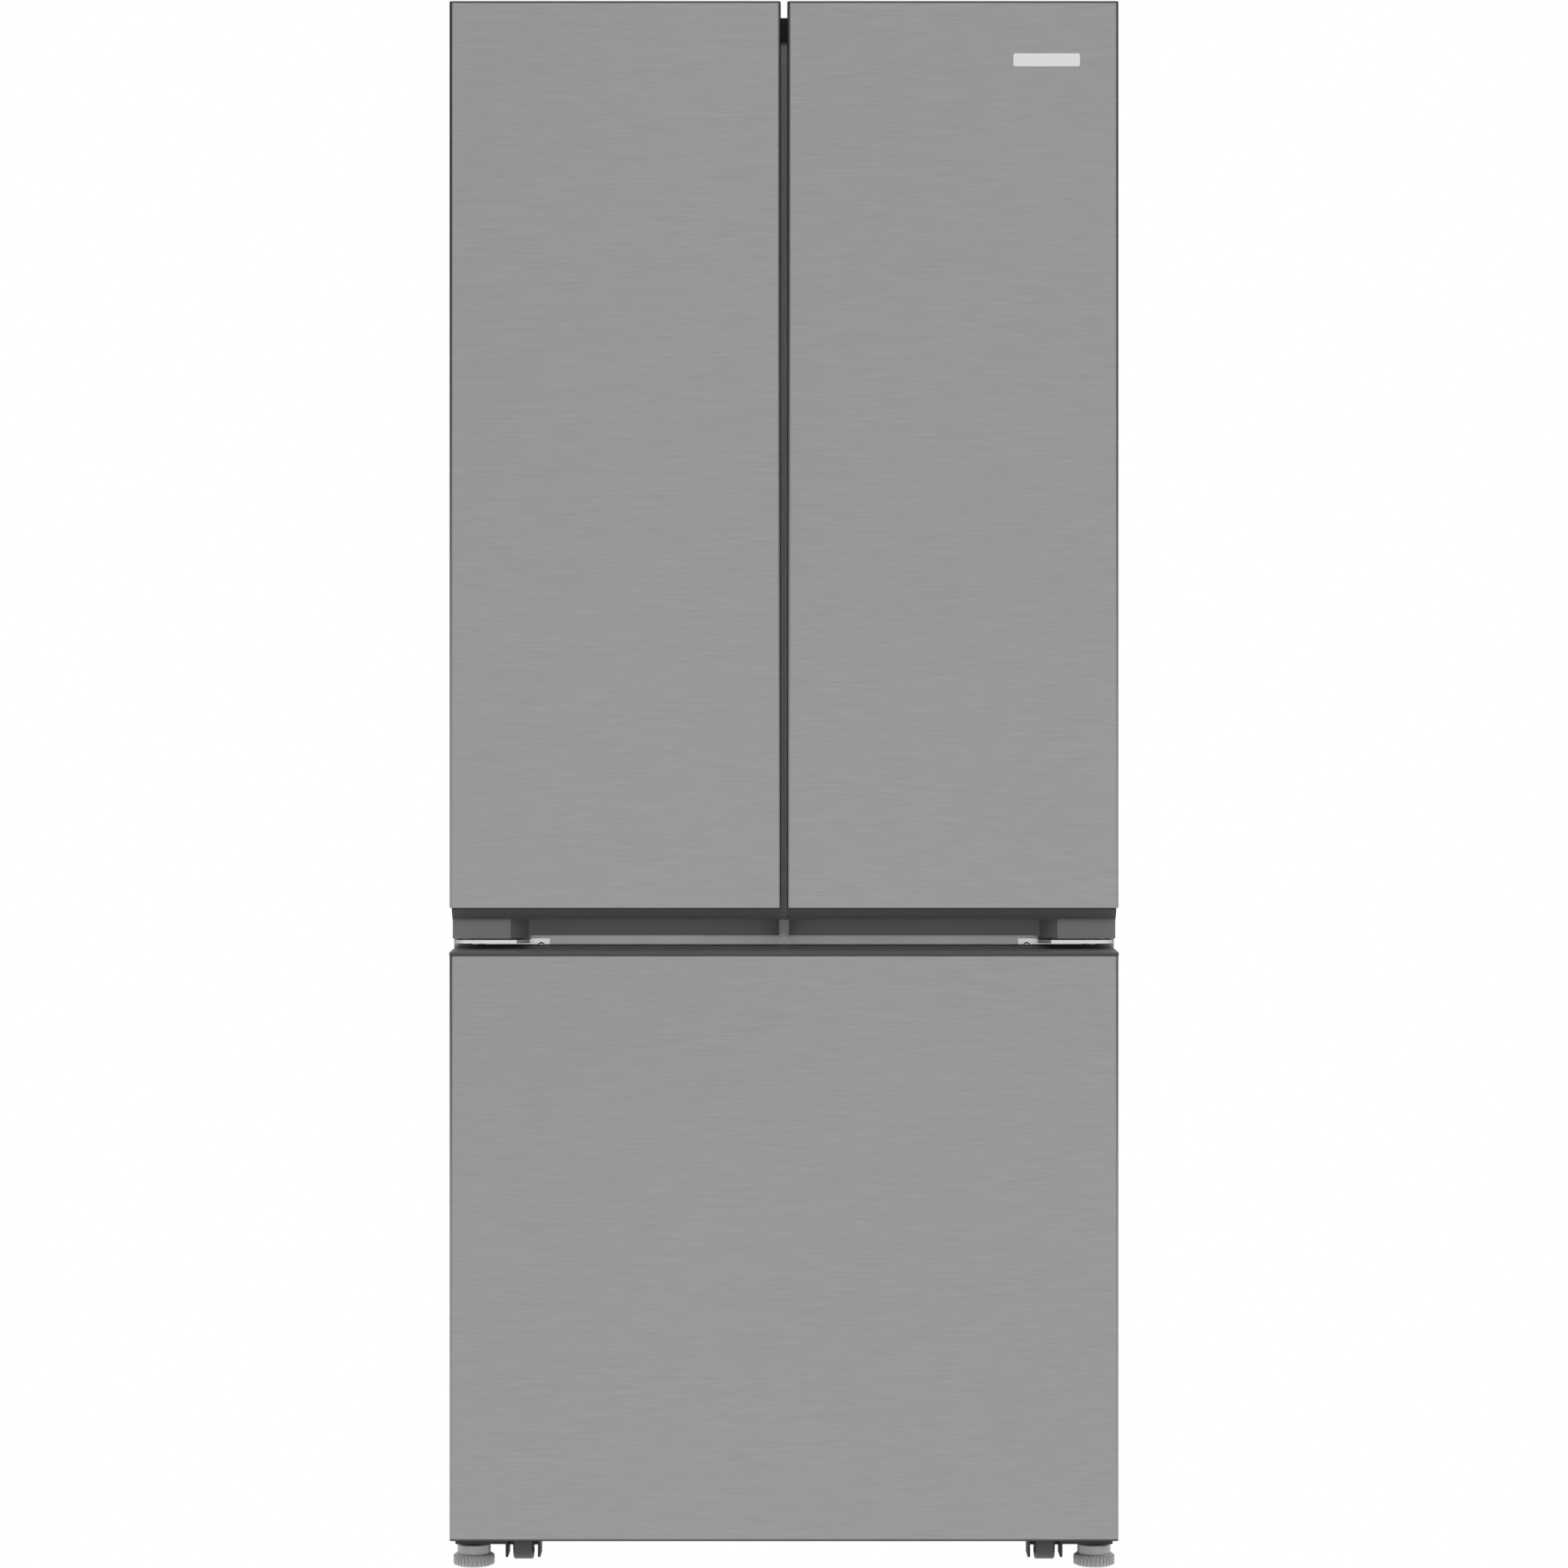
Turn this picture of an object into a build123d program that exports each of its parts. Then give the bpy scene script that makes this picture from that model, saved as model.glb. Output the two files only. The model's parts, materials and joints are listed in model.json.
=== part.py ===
from build123d import *
import os

os.makedirs("parts", exist_ok=True)

# French door refrigerator with a bottom freezer drawer. Millimetres, +Z up, the front faces -Y,
# and the origin is on the floor under the middle of the object.

# Overall sizes
width = 756.0
overall_depth = 715.0
door_top = 1776.0
case_top = door_top - 7.0
case_bottom = 44.0

# Doors and drawer
door_thick = 70.0
gasket_gap = 8.0
door_gap = 7.3
skin = 0.8
edge_round = 4.5
door_steel_bottom = 752.0
cap_lip = 1.7
drawer_bottom = 37.0
drawer_steel_top = 697.6
drawer_cap_front = 701.4
drawer_cap_back = 708.5
liner_wall = 2.0
ridge_inset = 40.0
ridge_outer = 56.0
ridge_wide = 18.0
ridge_high = 25.0
gasket_inset = 14.0
gasket_free = 10.0
gasket_wide = 14.0
clear = 0.5

# Grip under the upper doors
lip_bottom = 739.0
lip_back = 20.0
lip_inset = 2.5
cap_bottom = 716.8
grip_wall_bottom = 719.5
grip_back = 50.0
grip_outer_front = width / 2 - 68.0
grip_outer_back = width / 2 - 87.0
grip_inner = 5.5

# Cabinet
case_wall = 1.0
side_wall = 45.0
ceiling_wall = 26.0
rear_wall = 56.0
rail_low = 670.0
rail_high = 737.0
freezer_floor = 98.0
machine_front = 150.0
machine_top = 235.0
machine_foam = 50.0

# Hinges
pin_x = width / 2 - 17.0
pin_back = 32.0
pin_r = 4.0
pin_clear = 0.06
bush_r = 7.0
plate_thick = 4.0
plate_half = 9.0
plate_in = pin_x - 72.0

# Inside
shelf_levels = (1190.0, 1370.0, 1550.0)
shelf_front = -165.0
shelf_back = 250.0
glass = 4.0
crisper_top = 972.0
crisper_front = -215.0
crisper_back = 185.0
bin_levels = (1025.0, 1265.0, 1500.0)
bin_high = 105.0
bin_reach = 105.0
wall = 2.5

# Feet and rollers
foot_x = width / 2 - 24.0
foot_r = 23.5
foot_back = 62.0
foot_high = 14.0
stud_r = 5.0
roller_x = foot_x - 55.0
roller_r = 20.0
roller_wide = 23.0
front_axle_in = 19.0
hanger_in = 2.0
hanger_thick = 6.0
rear_axle_back = 650.0
front_axle_z = 21.3
axle_r = 4.0

# Places that follow from the sizes above
half = width / 2
front = -overall_depth / 2
back = overall_depth / 2
door_back = front + door_thick
case_front = door_back + gasket_gap
mouth = half - side_wall
ceiling = case_top - ceiling_wall
rear = back - rear_wall
pin_y = front + pin_back
door_edge = door_gap / 2
ridge_back = door_back + ridge_high


def span(x0, x1, y0, y1, z0, z1):
    """A box from its lower and upper bounds."""
    return Pos((x0 + x1) / 2, (y0 + y1) / 2, (z0 + z1) / 2) * Box(abs(x1 - x0), abs(y1 - y0), abs(z1 - z0))


def rod(x, y, z0, z1, r):
    return Pos(x, y, (z0 + z1) / 2) * Cylinder(r, z1 - z0)


def rod_x(x0, x1, y, z, r):
    return Pos((x0 + x1) / 2, y, z) * Rot(0, 90, 0) * Cylinder(r, x1 - x0)


def rod_y(y0, y1, x, z, r):
    return Pos(x, (y0 + y1) / 2, z) * Rot(90, 0, 0) * Cylinder(r, y1 - y0)


def along_x(points, x0, x1):
    """A profile of (y, z) points, run along X."""
    face = make_face(Polyline(*[(x0, y, z) for y, z in points], close=True))
    return extrude(face, x1 - x0, dir=(1, 0, 0))


def flat(points, z0, z1):
    """A plan of (x, y) points, run up from z0 to z1."""
    face = make_face(Polyline(*[(x, y, z0) for x, y in points], close=True))
    return extrude(face, z1 - z0, dir=(0, 0, 1))


def ring_y(x0, x1, z0, z1, band, y0, y1):
    """A rectangular ring seen from the front."""
    return span(x0, x1, y0, y1, z0, z1) - span(x0 + band, x1 - band, y0 - 1, y1 + 1, z0 + band, z1 - band)


def tray(x0, x1, y0, y1, z0, z1, t):
    """A tub that is open at the top."""
    return span(x0, x1, y0, y1, z0, z1) - span(x0 + t, x1 - t, y0 + t, y1 - t, z0 + t, z1 + 1)


def mirrored(part):
    return mirror(part, about=Plane.YZ)


def save(name, *solids):
    shape = solids[0] if len(solids) == 1 else Compound(children=list(solids))
    export_step(shape, "parts/" + name + ".step")


# The case, its frame and its insulation
case = span(-half, half, case_front, back, case_bottom, case_top)
case -= span(-half + case_wall, half - case_wall, case_front + case_wall, back + 1, case_bottom - 1,
             case_top - case_wall)
case -= span(-mouth, mouth, case_front - 1, case_front + case_wall + 1, case_bottom - 1, ceiling)
save("outer_case", case)

inside_x = half - case_wall
panel = 1.0
save("back_panel", span(-inside_x, inside_x, back - panel, back, machine_top, case_top - case_wall))

freezer_step_y = machine_front - machine_foam
freezer_step_z = machine_top + machine_foam
fridge_out = span(-mouth, mouth, case_front, rear, rail_high, ceiling)
freezer_out = along_x([(case_front, freezer_floor), (freezer_step_y, freezer_floor),
                       (freezer_step_y, freezer_step_z), (rear, freezer_step_z), (rear, rail_low),
                       (case_front, rail_low)], -mouth, mouth)
fridge_in = span(-mouth + liner_wall, mouth - liner_wall, case_front - 1, rear - liner_wall,
                 rail_high + liner_wall, ceiling - liner_wall)
freezer_in = along_x([(case_front - 1, freezer_floor + liner_wall),
                      (freezer_step_y - liner_wall, freezer_floor + liner_wall),
                      (freezer_step_y - liner_wall, freezer_step_z + liner_wall),
                      (rear - liner_wall, freezer_step_z + liner_wall), (rear - liner_wall, rail_low - liner_wall),
                      (case_front - 1, rail_low - liner_wall)], -mouth + liner_wall, mouth - liner_wall)
ledge_out = 7.0
ledge_high = 8.0
liner = fridge_out - fridge_in
cover_z = crisper_top + 14.0
for level in (cover_z, *shelf_levels):
    for side in (-1, 1):
        inner = side * (mouth - liner_wall - ledge_out)
        liner += span(side * (mouth - liner_wall / 2), inner, shelf_front + 15, shelf_back, level - ledge_high, level)
save("fridge_liner", liner)

sheet = 1.2
tray_front = case_front + case_wall
step_wall = along_x([(tray_front, case_bottom), (back - panel * 2, case_bottom), (back - panel * 2, case_bottom + sheet),
                     (tray_front + sheet, case_bottom + sheet), (tray_front + sheet, freezer_floor),
                     (tray_front, freezer_floor)], -inside_x, inside_x)
step_wall += along_x([(machine_front - sheet, case_bottom + sheet / 2), (machine_front, case_bottom + sheet / 2),
                      (machine_front, machine_top - sheet), (back - panel * 2, machine_top - sheet),
                      (back - panel * 2, machine_top), (machine_front - sheet, machine_top)], -inside_x, inside_x)
save("base_tray", step_wall)

rail_deep = 24.0
rail = span(-mouth, mouth, case_front, case_front + rail_deep, rail_low, rail_high)
rail -= span(-mouth - 1, mouth + 1, case_front + sheet, case_front + rail_deep + 1, rail_low + sheet, rail_high - sheet)
save("mid_rail", rail)

foam = span(-inside_x, inside_x, case_front + case_wall, back - panel, case_bottom + sheet, case_top - case_wall)
foam -= span(-inside_x - 1, inside_x + 1, machine_front - sheet, back + 1, case_bottom, machine_top)
foam -= fridge_out
foam -= freezer_out
foam -= span(-inside_x - 1, inside_x + 1, tray_front - 1, tray_front + sheet, case_bottom, freezer_floor)
foam -= span(-mouth, mouth, case_front, case_front + rail_deep, rail_low, rail_high)
save("foam_insulation", foam)

# Hinges: plates on the case top and on the mid rail, each with a riveted pin
top_plate_z = case_top
top_arm_back = case_front + 78.0
top_in = pin_x - 43.0


def hinge_arm(z0, y_back, x_in, x_out):
    arm = flat([(pin_x - plate_half, pin_y), (x_in, case_front - 2), (x_in, y_back), (x_out, y_back),
                (x_out, case_front - 2), (pin_x + plate_half, pin_y)], z0, z0 + plate_thick)
    return arm + rod(pin_x, pin_y, z0, z0 + plate_thick, plate_half)


top_screws = [(top_in + 14, case_front + 22), (top_in + 44, case_front + 22), (top_in + 29, case_front + 58)]
screw_r = 2.5
head_r = 4.0
head_high = 2.2
top_arm = hinge_arm(top_plate_z, top_arm_back, top_in, pin_x + plate_half)
top_pin = rod(pin_x, pin_y, top_plate_z - 18, top_plate_z, pin_r)
for x, y in top_screws:
    top_arm -= rod(x, y, top_plate_z - 1, top_plate_z + plate_thick + 1, screw_r)
save("top_hinge_plates", top_arm, top_pin, mirrored(top_arm), mirrored(top_pin))

mid_plate_top = cap_bottom - 1.6
mid_plate_low = mid_plate_top - plate_thick
flange_in = pin_x - 93.0
flange_thick = 2.5
flange_low = 700.0
mid_arm = flat([(plate_in, case_front), (plate_in, front + 34), (plate_in + 14, front + 20), (pin_x, front + 20),
                (pin_x + 12, front + 26), (pin_x + 12, pin_y + 10), (pin_x - 4, case_front)],
               mid_plate_low, mid_plate_top)
mid_arm += span(flange_in, pin_x - 4, case_front - flange_thick, case_front, flange_low, mid_plate_top)
mid_screws = [(flange_in + 10, 707.0), (pin_x - 15, 707.0)]
for x, z in mid_screws:
    mid_arm -= rod_y(case_front - flange_thick - 1, case_front + 1, x, z, screw_r)
mid_pin = rod(pin_x, pin_y, mid_plate_top, mid_plate_top + 20, pin_r)
save("mid_hinge_plates", mid_arm, mid_pin, mirrored(mid_arm), mirrored(mid_pin))

spacer_high = 1.0
spacer = rod(pin_x, pin_y, mid_plate_top, mid_plate_top + spacer_high, bush_r + 3)
spacer -= rod(pin_x, pin_y, mid_plate_top - 1, mid_plate_top + 3, pin_r)
save("hinge_spacers", spacer, mirrored(spacer))

screws = []
for x, y in top_screws:
    screw = rod(x, y, top_plate_z, top_plate_z + plate_thick, screw_r)
    screws.append(screw + rod(x, y, top_plate_z + plate_thick, top_plate_z + plate_thick + head_high, head_r))
for x, z in mid_screws:
    screw = rod_y(case_front - flange_thick, case_front, x, z, screw_r)
    screws.append(screw + rod_y(case_front - flange_thick - head_high, case_front - flange_thick, x, z, head_r))
save("hinge_screws", *screws, *[mirrored(screw) for screw in screws])

cover_high = 14.0
cover = span(top_in - 6, half - 1, case_front + 3, top_arm_back + 8, case_top, case_top + cover_high)
cover = fillet(cover.edges().filter_by(Axis.Z) + cover.faces().sort_by(Axis.Z)[-1].edges(), 2.5)
cover -= span(top_in - 6 + 2, half - 1 - 2, case_front + 5, top_arm_back + 6, case_top - 1, case_top + cover_high - 2)
cover -= span(top_in - 1, half - 1.5, case_front + 2, case_front + 6, case_top - 1, case_top + plate_thick + 0.5)
save("top_hinge_covers", cover, mirrored(cover))

guide_half = 12.0
guide_low = case_top - 27.0
guide = span(-guide_half, guide_half, case_front - 5, case_front, guide_low, case_top)
for i in range(7):
    z = guide_low + 17 + i * 2.2
    guide -= span(-guide_half - 1, guide_half + 1, case_front - 6, case_front - 4.2, z, z + 1.0)
save("mullion_guide", guide)

# Shelves, crisper cover and fittings inside the fridge
shelf_half = mouth - liner_wall - 2.0
frame_band = 12.0
shelves, frames = [], []
for level in shelf_levels:
    pane = span(-shelf_half + 6, shelf_half - 6, shelf_front + 6, shelf_back - 6, level + 3, level + 3 + glass)
    frame = span(-shelf_half, shelf_half, shelf_front, shelf_back, level, level + 12)
    frame -= span(-shelf_half + frame_band, shelf_half - frame_band, shelf_front + frame_band,
                  shelf_back - frame_band, level - 1, level + 13)
    frame -= pane
    frame -= span(-shelf_half + 6, shelf_half - 6, shelf_front + 6, shelf_back - 6, level + 3, level + 13)
    shelves.append(pane)
    frames.append(frame)
save("glass_shelves", *shelves)
save("shelf_frames", *frames)

crisper_lid = span(-shelf_half, shelf_half, crisper_front + 12, shelf_back, cover_z, cover_z + 10)
crisper_lid -= span(-shelf_half + 25, shelf_half - 25, crisper_front + 40, shelf_back - 20, cover_z + 6, cover_z + 11)
crisper_lid += span(-2.5, 2.5, crisper_front + 20, crisper_back, rail_high + liner_wall, cover_z)
save("crisper_cover", crisper_lid)

lamp = span(-70, 70, -60, 40, ceiling - liner_wall - 9, ceiling - liner_wall)
lamp = fillet(lamp.edges().filter_by(Axis.Z), 8)
save("lamp_lens", lamp)
panel_box = span(-110, 110, -215, -120, ceiling - liner_wall - 16, ceiling - liner_wall)
panel_box = chamfer(panel_box.faces().sort_by(Axis.Z)[0].edges(), 3)
save("control_panel", panel_box)

duct = span(-120, 120, rear - liner_wall - 34, rear - liner_wall, 1010, 1700)
duct = chamfer(duct.faces().sort_by(Axis.Y)[0].edges(), 8)
for z in (1100, 1280, 1460, 1640):
    for side in (-1, 1):
        duct -= span(side * 30, side * 90, rear - liner_wall - 35, rear - liner_wall - 26, z, z + 14)
save("air_duct", duct)

# The cold circuit in the freezer
evap_front = 215.0
fan_z = 610.0
fan_r = 52.0
evap_cover = span(-mouth + liner_wall, mouth - liner_wall, evap_front, evap_front + 2.5,
                  freezer_step_z + liner_wall, rail_low - liner_wall)
evap_cover -= rod_y(evap_front - 1, evap_front + 4, 0, fan_z, fan_r + 5)
for i in range(9):
    x = -200 + i * 50
    evap_cover -= span(x - 16, x + 16, evap_front - 1, evap_front + 4, 300, 312)
save("evaporator_cover", evap_cover)

evap = None
for i in range(40):
    x = -234 + i * 12
    fin = span(x - 0.5, x + 0.5, evap_front + 18, evap_front + 72, 330, 530)
    evap = fin if evap is None else evap + fin
for row in range(5):
    for y in (evap_front + 32, evap_front + 58):
        evap += rod_x(-245, 245, y, 350 + row * 40, 4)
save("evaporator", evap)


def fan_blades(r, hub, thick, blades=5):
    """An axial fan along Z, centred on the origin."""
    fan = Cylinder(hub, thick)
    for i in range(blades):
        blade = Pos((hub + r) / 2 - 1, 0, 0) * Rot(32, 0, 0) * Box(r - hub, hub * 1.35, 1.6)
        fan += Rot(0, 0, i * 360 / blades) * blade
    return (fan & Cylinder(r, thick)) - Cylinder(2.0 + pin_clear, thick + 2)


evap_fan_y = evap_front + 14
save("evaporator_fan", Pos(0, evap_fan_y, fan_z) * Rot(90, 0, 0) * fan_blades(fan_r, 17, 16))
cond_fan_x = -40.0
cond_y = 255.0
cond_z = 115.0
save("condenser_fan", Pos(cond_fan_x, cond_y, cond_z) * Rot(0, 90, 0) * fan_blades(fan_r, 17, 16))

evap_motor = rod_y(evap_fan_y + 11, rear - liner_wall, 0, fan_z, 18)
evap_motor += rod_y(evap_fan_y - 8, evap_fan_y + 12, 0, fan_z, 2.0)
evap_motor += span(-60, 60, evap_fan_y + 30, evap_fan_y + 33, fan_z - 8, fan_z + 8)
cond_motor = rod_x(cond_fan_x - 50, cond_fan_x - 11, cond_y, cond_z, 18)
cond_motor += rod_x(cond_fan_x - 12, cond_fan_x + 8, cond_y, cond_z, 2.0)
cond_motor += span(cond_fan_x - 40, cond_fan_x - 36, cond_y - 10, cond_y + 10, case_bottom + sheet, cond_z)
save("fan_motors", evap_motor, cond_motor)

comp_x = -230.0
comp_z = case_bottom + sheet + 16
shell = Pos(comp_x, cond_y, comp_z + 75) * Cylinder(70, 150)
shell = fillet(shell.edges().filter_by(GeomType.CIRCLE), 30)
shell += span(comp_x - 100, comp_x + 100, cond_y - 60, cond_y + 60, comp_z, comp_z + 3)
for dx in (-85, 85):
    for dy in (-45, 45):
        shell += rod(comp_x + dx, cond_y + dy, case_bottom + sheet, comp_z + 1, 12)
save("compressor", shell)

coil = span(0, 3, cond_y - 72, cond_y + 72, case_bottom + sheet, 180)
coil -= rod_x(-1, 4, cond_y, cond_z, fan_r + 5)
for row in range(5):
    for y in (cond_y - 62, cond_y + 62):
        coil += rod_x(2, 290, y, 60 + row * 26, 3.5)
for i in range(22):
    x = 14 + i * 12.5
    coil += span(x - 0.5, x + 0.5, cond_y - 70, cond_y + 70, 48, 176)
save("condenser", coil)
save("drain_pan", tray(8, 300, cond_y - 72, cond_y + 72, 182, 218, 2.0))

cover = span(-inside_x, inside_x, back - panel * 2, back - panel, case_bottom, machine_top)
for row in range(5):
    for col in range(14):
        x = -325 + col * 50
        cover -= span(x - 18, x + 18, back - 5, back + 1, 68 + row * 30, 76 + row * 30)
inlet_x = half - 48.0
inlet_proud = 1.0
inlet_z = 216.0
save("rear_cover", cover - rod_y(back - 5, back + 1, inlet_x, inlet_z, 9))
inlet = rod_y(back - 12, back + inlet_proud, inlet_x, inlet_z, 9)
inlet -= rod_y(back - 13, back + 2, inlet_x, inlet_z, 4.5)
save("power_inlet", inlet)


# The hinged doors, modelled on the right and mirrored for the left
steel_top = door_top - cap_lip
plug_top = door_top - 16.0
plug_low = door_steel_bottom + 23.0
gasket_y0 = door_back
gasket_y1 = case_front - clear
bore_r = pin_r + pin_clear


def front_block(x0, x1, z0, z1, inset, y_back):
    """A block behind the front face, with both upright front edges rounded."""
    block = span(x0 + inset, x1 - inset, front + inset, y_back, z0, z1)
    return fillet(block.edges().filter_by(Axis.Z).group_by(Axis.Y)[0], edge_round - inset)


def hollow_ridge(x0, x1, z0, z1):
    """The moulded ridge round an inner liner, and the foam that fills it."""
    outer = ring_y(x0, x1, z0, z1, ridge_wide, door_back - liner_wall / 2, ridge_back)
    core = ring_y(x0 + liner_wall, x1 - liner_wall, z0 + liner_wall, z1 - liner_wall,
                  ridge_wide - 2 * liner_wall, door_back - liner_wall, ridge_back - liner_wall)
    return outer, core


def upper_door():
    x0, x1 = door_edge, half
    pieces = {}
    pocket_floor = case_top - clear
    pocket = span(top_in - 8, half + 1, front + 6, door_back + 1, pocket_floor, door_top + 1)
    shell = front_block(x0, x1, door_steel_bottom, steel_top, 0, door_back)
    shell -= front_block(x0, x1, door_steel_bottom - 1, steel_top + 1, skin, door_back + 1)
    pieces["skin"] = shell - pocket

    top_cap = front_block(x0, x1, steel_top, door_top, 0, door_back)
    top_cap += front_block(x0, x1, plug_top, steel_top, skin, door_back - liner_wall)
    top_cap -= pocket
    boss = rod(pin_x, pin_y, top_plate_z - 20, pocket_floor, bush_r)
    pin_bore = rod(pin_x, pin_y, top_plate_z - 19, door_top + 1, bore_r)
    pieces["top_cap"] = top_cap + boss - pin_bore

    low = along_x([(front + 1.5, door_steel_bottom), (front + 15, lip_bottom), (front + lip_back, lip_bottom),
                   (front + lip_back, cap_bottom), (door_back, cap_bottom), (door_back, door_steel_bottom)],
                  x0 + lip_inset * 0.4, x1 - lip_inset)
    low += front_block(x0, x1, door_steel_bottom, plug_low, skin, door_back - liner_wall)
    low -= flat([(grip_inner, front + lip_back), (grip_outer_front, front + lip_back),
                 (grip_outer_back, front + grip_back), (grip_inner, front + grip_back)], cap_bottom - 1, door_steel_bottom - 1)
    low -= span(grip_inner, grip_outer_back, front + grip_back - 1, door_back + 1, cap_bottom - 1, grip_wall_bottom)
    pieces["bottom_cap"] = low - rod(pin_x, pin_y, cap_bottom - 1, cap_bottom + 22, bore_r)

    ridge, core = hollow_ridge(x0 + ridge_inset, x1 - ridge_outer, door_steel_bottom + 4, ceiling - 12)
    plate = span(x0 + skin, x1 - skin, door_back - liner_wall, door_back, door_steel_bottom, steel_top)
    pieces["liner"] = (plate + ridge - core) - pocket
    fill = front_block(x0, x1, plug_low, plug_top, skin, door_back - liner_wall) - boss
    pieces["foam"] = fill + core
    gasket_high = case_top - 7
    pieces["gasket"] = ring_y(x0 + gasket_free, x1 - gasket_inset, rail_high - 16, gasket_high, gasket_wide,
                              gasket_y0, gasket_y1)

    bin_x0 = x0 + ridge_inset + ridge_wide
    bin_x1 = x1 - ridge_outer - ridge_wide
    bins = []
    for level in bin_levels:
        tub = tray(bin_x0, bin_x1, door_back, door_back + bin_reach, level, level + bin_high, wall)
        bins.append(tub)
    pieces["bins"] = bins
    return pieces


right = upper_door()
mullion_half = 33.0
mullion_deep = 16.0
mullion_top = ceiling - liner_wall - clear
mullion_low = rail_high + liner_wall + clear
flip_x = -28.0
flip_y = case_front + mullion_deep / 2
knuckles = (rail_high + 83, (rail_high + ceiling) / 2, ceiling - 83)

bar = span(-mullion_half, mullion_half, case_front, case_front + mullion_deep, mullion_low, mullion_top)
bar = chamfer(bar.edges().filter_by(Axis.Z), 2.5)
left_lugs = None
for z in knuckles:
    bar -= span(-mullion_half - 1, flip_x + 6, case_front - 1, case_front + mullion_deep + 1, z - 13, z + 13)
    bar += rod(flip_x, flip_y, z - 5, z + 5, 5) + span(flip_x, flip_x + 8, flip_y - 3, flip_y + 3, z - 5, z + 5)
    bar -= rod(flip_x, flip_y, z - 6, z + 6, 2.5 + pin_clear)
    for low_z in (z - 12, z + 6):
        lug = span(-door_edge - ridge_inset, flip_x, flip_y - 4, flip_y + 4, low_z, low_z + 6)
        lug += rod(flip_x, flip_y, low_z, low_z + 6, 4)
        left_lugs = lug if left_lugs is None else left_lugs + lug
    left_lugs += rod(flip_x, flip_y, z - 12, z + 12, 2.5)
save("mullion_bar", bar)

for side, turn in (("left", mirrored), ("right", lambda part: part)):
    for piece, shape in right.items():
        if piece == "bins":
            save(side + "_door_bins", *[turn(one) for one in shape])
        elif piece == "liner" and side == "left":
            save("left_door_liner", turn(shape) + left_lugs)
        elif piece in ("top_cap", "bottom_cap"):
            continue
        else:
            save(side + "_door_" + piece, turn(shape))
    save(side + "_door_caps", turn(right["top_cap"]), turn(right["bottom_cap"]))

# A plain plaque on the right door, with raised bars in place of lettering
plaque_x = half - 81.5
plaque_z = door_top - 66.5
plaque_wide = 76.0
plaque_high = 15.0
plaque_thick = 1.0
plaque = span(plaque_x - plaque_wide / 2, plaque_x + plaque_wide / 2, front - plaque_thick, front,
              plaque_z - plaque_high / 2, plaque_z + plaque_high / 2)
save("name_plaque", fillet(plaque.edges().filter_by(Axis.Y), 3))

# The freezer drawer
skin_low = drawer_bottom + cap_lip
shell = front_block(-half, half, skin_low, drawer_steel_top, 0, door_back)
shell -= front_block(-half, half, skin_low - 1, drawer_steel_top + 1, skin, door_back + 1)
save("drawer_skin", shell)

drawer_plug = 686.0
finger_half = half - 78.0
low_plug = 52.0
cap = along_x([(front, drawer_steel_top), (front, drawer_cap_front), (front + 3, drawer_cap_front + 1.2),
               (door_back, drawer_cap_back), (door_back, drawer_steel_top)], -half, half)
for side in (-1, 1):
    slope = make_face(Polyline((side * (half + 1), front - 1, drawer_cap_front - 1),
                               (side * (half + 1), front - 1, drawer_cap_back + 2),
                               (side * (half - 7), front - 1, drawer_cap_back + 2), close=True))
    cap -= extrude(slope, door_thick + 2, dir=(0, 1, 0))
cap += front_block(-half, half, drawer_plug, drawer_steel_top, skin, door_back)
cap -= span(-finger_half, finger_half, front + 30, front + 56, drawer_plug + 3, drawer_cap_back + 5)
foot_cap = front_block(-half, half, drawer_bottom, skin_low, 0, door_back)
foot_cap += front_block(-half, half, skin_low, low_plug, skin, door_back)
save("drawer_caps", cap, foot_cap)

drawer_ridge, drawer_core = hollow_ridge(-half + ridge_outer, half - ridge_outer, freezer_floor + 10, rail_low - 12)
plate = span(-half + skin, half - skin, door_back - liner_wall, door_back, low_plug, drawer_plug)
save("drawer_liner", plate + drawer_ridge - drawer_core)
fill = front_block(-half, half, low_plug, drawer_plug, skin, door_back - liner_wall)
save("drawer_foam", fill + drawer_core)
save("drawer_gasket", ring_y(-half + gasket_inset, half - gasket_inset, low_plug + 2, drawer_steel_top - 2,
                             gasket_wide, gasket_y0, gasket_y1))

# Telescopic rails, the basket and the upper bin of the freezer
rail_z = 400.0
rail_half = 22.5
rail_y0 = ridge_back + 5.0
rail_y1 = 180.0
rail_wall = mouth - liner_wall
fixed = span(rail_wall - 1.5, rail_wall, rail_y0, rail_y1, rail_z - rail_half, rail_z + rail_half)
for z in (rail_z - rail_half, rail_z + rail_half - 1.5):
    fixed += span(rail_wall - 11.5, rail_wall, rail_y0, rail_y1, z, z + 1.5)
save("fixed_rails", fixed, mirrored(fixed))
middle = span(rail_wall - 11, rail_wall - 2.5, rail_y0 + 2, rail_y1 - 4, rail_z - 19, rail_z + 19)
middle -= span(rail_wall - 12, rail_wall - 4.5, rail_y0, rail_y1, rail_z - 17, rail_z + 17)
save("middle_rails", middle, mirrored(middle))
frame_back = 150.0
inner_face = rail_wall - 12
arm = span(inner_face - 10, inner_face, ridge_back, frame_back, rail_z - 14, rail_z + 14)
arm += span(inner_face - 8, inner_face + 6.5, ridge_back + 12, frame_back, rail_z - 5, rail_z + 5)
arm += span(inner_face - 10, inner_face - 8, ridge_back, 80, rail_z - 60, rail_z)
arm += span(inner_face - 20, inner_face - 8, ridge_back, 80, rail_z - 60, rail_z - 57)
arm += span(inner_face - 15, inner_face, ridge_back, ridge_back + 3, rail_z - 50, rail_z + 35)
save("drawer_side_frames", arm, mirrored(arm))

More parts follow.
